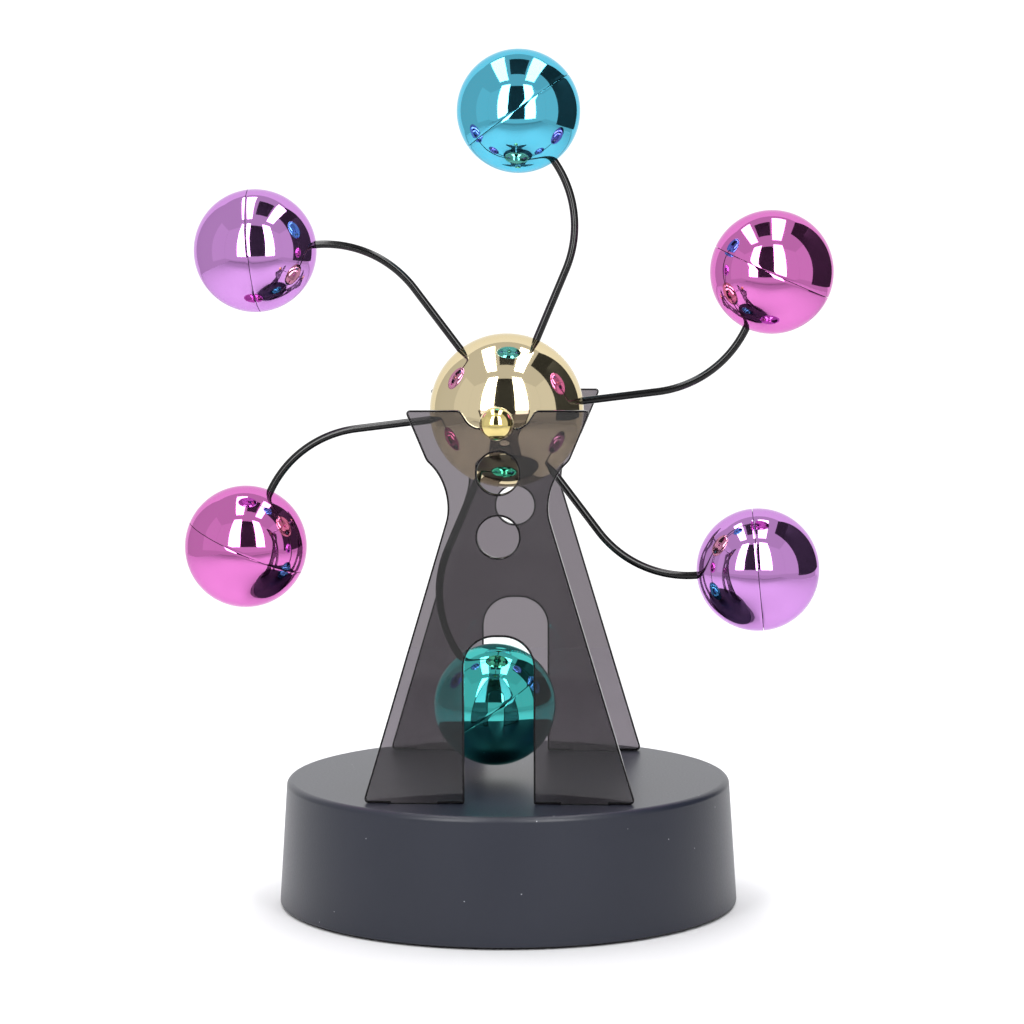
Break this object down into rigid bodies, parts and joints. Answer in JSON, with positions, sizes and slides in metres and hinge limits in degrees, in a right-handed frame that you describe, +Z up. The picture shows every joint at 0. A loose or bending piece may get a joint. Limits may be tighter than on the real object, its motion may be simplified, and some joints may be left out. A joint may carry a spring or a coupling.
{
  "type": "magnetic desk sculpture",
  "caption": "Rotor of curved wire arms with mirror balls and a central hub, turning on an axle between two smoked panels over a round battery base.",
  "frame": {"origin": "centre of the circle that the base stands on, at the level of the feet's undersides", "axes": "+Z up, +Y from the front panel to the rear panel along the axle, +X to the right seen from the front"},
  "size_m": [0.1336, 0.095, 0.176],
  "materials": {
    "base_black": "satin, very fine texture",
    "cover_black": "fine matte texture",
    "panel_smoke": "clear smoked acrylic, gloss",
    "hub_champagne": "vacuum metallised, mirror gloss",
    "ball_cyan": "vacuum metallised and tinted, mirror gloss",
    "ball_pink": "vacuum metallised and tinted, mirror gloss",
    "ball_violet": "vacuum metallised and tinted, mirror gloss",
    "ball_teal": "vacuum metallised and tinted, mirror gloss",
    "axle_steel": "ground and polished",
    "end_ball_gold": "polished",
    "arm_black": "gloss black",
    "magnet_nickel": "nickel plated",
    "foot_rubber": "matte",
    "screw_steel": "zinc plated",
    "cell_label": "printed sleeve, gloss",
    "contact_nickel": "nickel plated",
    "bobbin_white": "moulded nylon",
    "winding_copper": "enamelled copper wire",
    "board_green": "solder resist on laminate",
    "transistor_black": "moulded",
    "lead_red": "insulated lead"
  },
  "bodies": {
    "stand": {"base_shell": "base_black", "bottom_cover": "cover_black", "front_panel": "panel_smoke", "rear_panel": "panel_smoke", "foot_1": "foot_rubber", "foot_2": "foot_rubber", "foot_3": "foot_rubber", "foot_4": "foot_rubber", "cover_screw_1": "screw_steel", "cover_screw_2": "screw_steel", "cover_screw_3": "screw_steel", "cover_screw_4": "screw_steel", "cell_1": "cell_label", "cell_2": "cell_label", "cell_3": "cell_label", "cell_4": "cell_label", "contact_spring_1": "contact_nickel", "contact_spring_2": "contact_nickel", "contact_spring_3": "contact_nickel", "contact_spring_4": "contact_nickel", "contact_plate_1": "contact_nickel", "contact_plate_2": "contact_nickel", "contact_plate_3": "contact_nickel", "contact_plate_4": "contact_nickel", "contact_plate_5": "contact_nickel", "coil_bobbin": "bobbin_white", "coil_winding": "winding_copper", "circuit_board": "board_green", "drive_transistor": "transistor_black", "coil_twin_lead": "lead_red"},
    "rotor": {"hub_front_shell": "hub_champagne", "hub_rear_shell": "hub_champagne", "axle": "axle_steel", "end_ball_front": "end_ball_gold", "end_ball_rear": "end_ball_gold", "arm_1": "arm_black", "ball_1_inner_half": "ball_cyan", "ball_1_outer_half": "ball_cyan", "magnet_1": "magnet_nickel", "arm_2": "arm_black", "ball_2_inner_half": "ball_pink", "ball_2_outer_half": "ball_pink", "magnet_2": "magnet_nickel", "arm_3": "arm_black", "ball_3_inner_half": "ball_violet", "ball_3_outer_half": "ball_violet", "magnet_3": "magnet_nickel", "arm_4": "arm_black", "ball_4_inner_half": "ball_teal", "ball_4_outer_half": "ball_teal", "magnet_4": "magnet_nickel", "arm_5": "arm_black", "ball_5_inner_half": "ball_pink", "ball_5_outer_half": "ball_pink", "magnet_5": "magnet_nickel", "arm_6": "arm_black", "ball_6_inner_half": "ball_violet", "ball_6_outer_half": "ball_violet", "magnet_6": "magnet_nickel"},
    "door": {"battery_door": "cover_black"}
  },
  "joints": [
    {"name": "rotor_spin", "type": "hinge", "parent": "stand", "child": "rotor", "pos_m": [0, 0, 0.10224], "axis": [0, 1, 0], "continuous": true},
    {"name": "battery_door_hinge", "type": "hinge", "parent": "stand", "child": "door", "pos_m": [0, -0.0269, 0.0017], "axis": [-1, 0, 0], "range_deg": [0, 100]}
  ]
}
